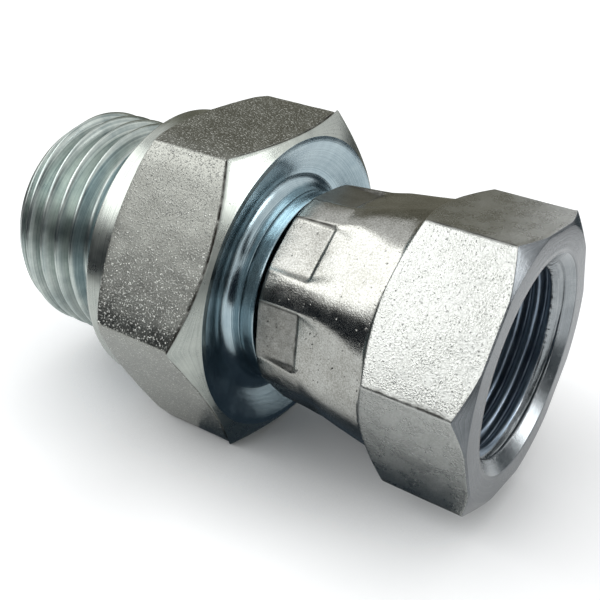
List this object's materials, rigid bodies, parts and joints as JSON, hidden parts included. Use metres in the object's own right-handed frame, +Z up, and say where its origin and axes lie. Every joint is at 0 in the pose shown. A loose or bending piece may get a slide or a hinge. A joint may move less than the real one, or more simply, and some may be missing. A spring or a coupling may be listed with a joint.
{
  "type": "straight hydraulic adaptor fitting",
  "caption": "Straight hydraulic adaptor: male parallel stud, hexagon with a sealing collar, and a crimped swivel nut round a 60 degree cone nose.",
  "frame": {"origin": "on the flow axis, at the sealing face of the turned collar (the face that meets the port)", "axes": "+X along the flow axis towards the mouth of the swivel nut, +Z up and square to the top flat of the body's hexagon"},
  "size_m": [0.0466, 0.031, 0.027],
  "materials": {
    "body_zinc_plated_steel": "satin",
    "nut_zinc_plated_steel": "satin",
    "nitrile_rubber": "matte"
  },
  "bodies": {
    "adaptor": {"adaptor_body": "body_zinc_plated_steel", "nose_o_ring": "nitrile_rubber"},
    "nut": {"swivel_nut": "nut_zinc_plated_steel"}
  },
  "joints": [
    {"name": "nut_swivel", "type": "hinge", "parent": "adaptor", "child": "nut", "pos_m": [0.0169, 0, 0], "axis": [1, 0, 0], "continuous": true}
  ]
}
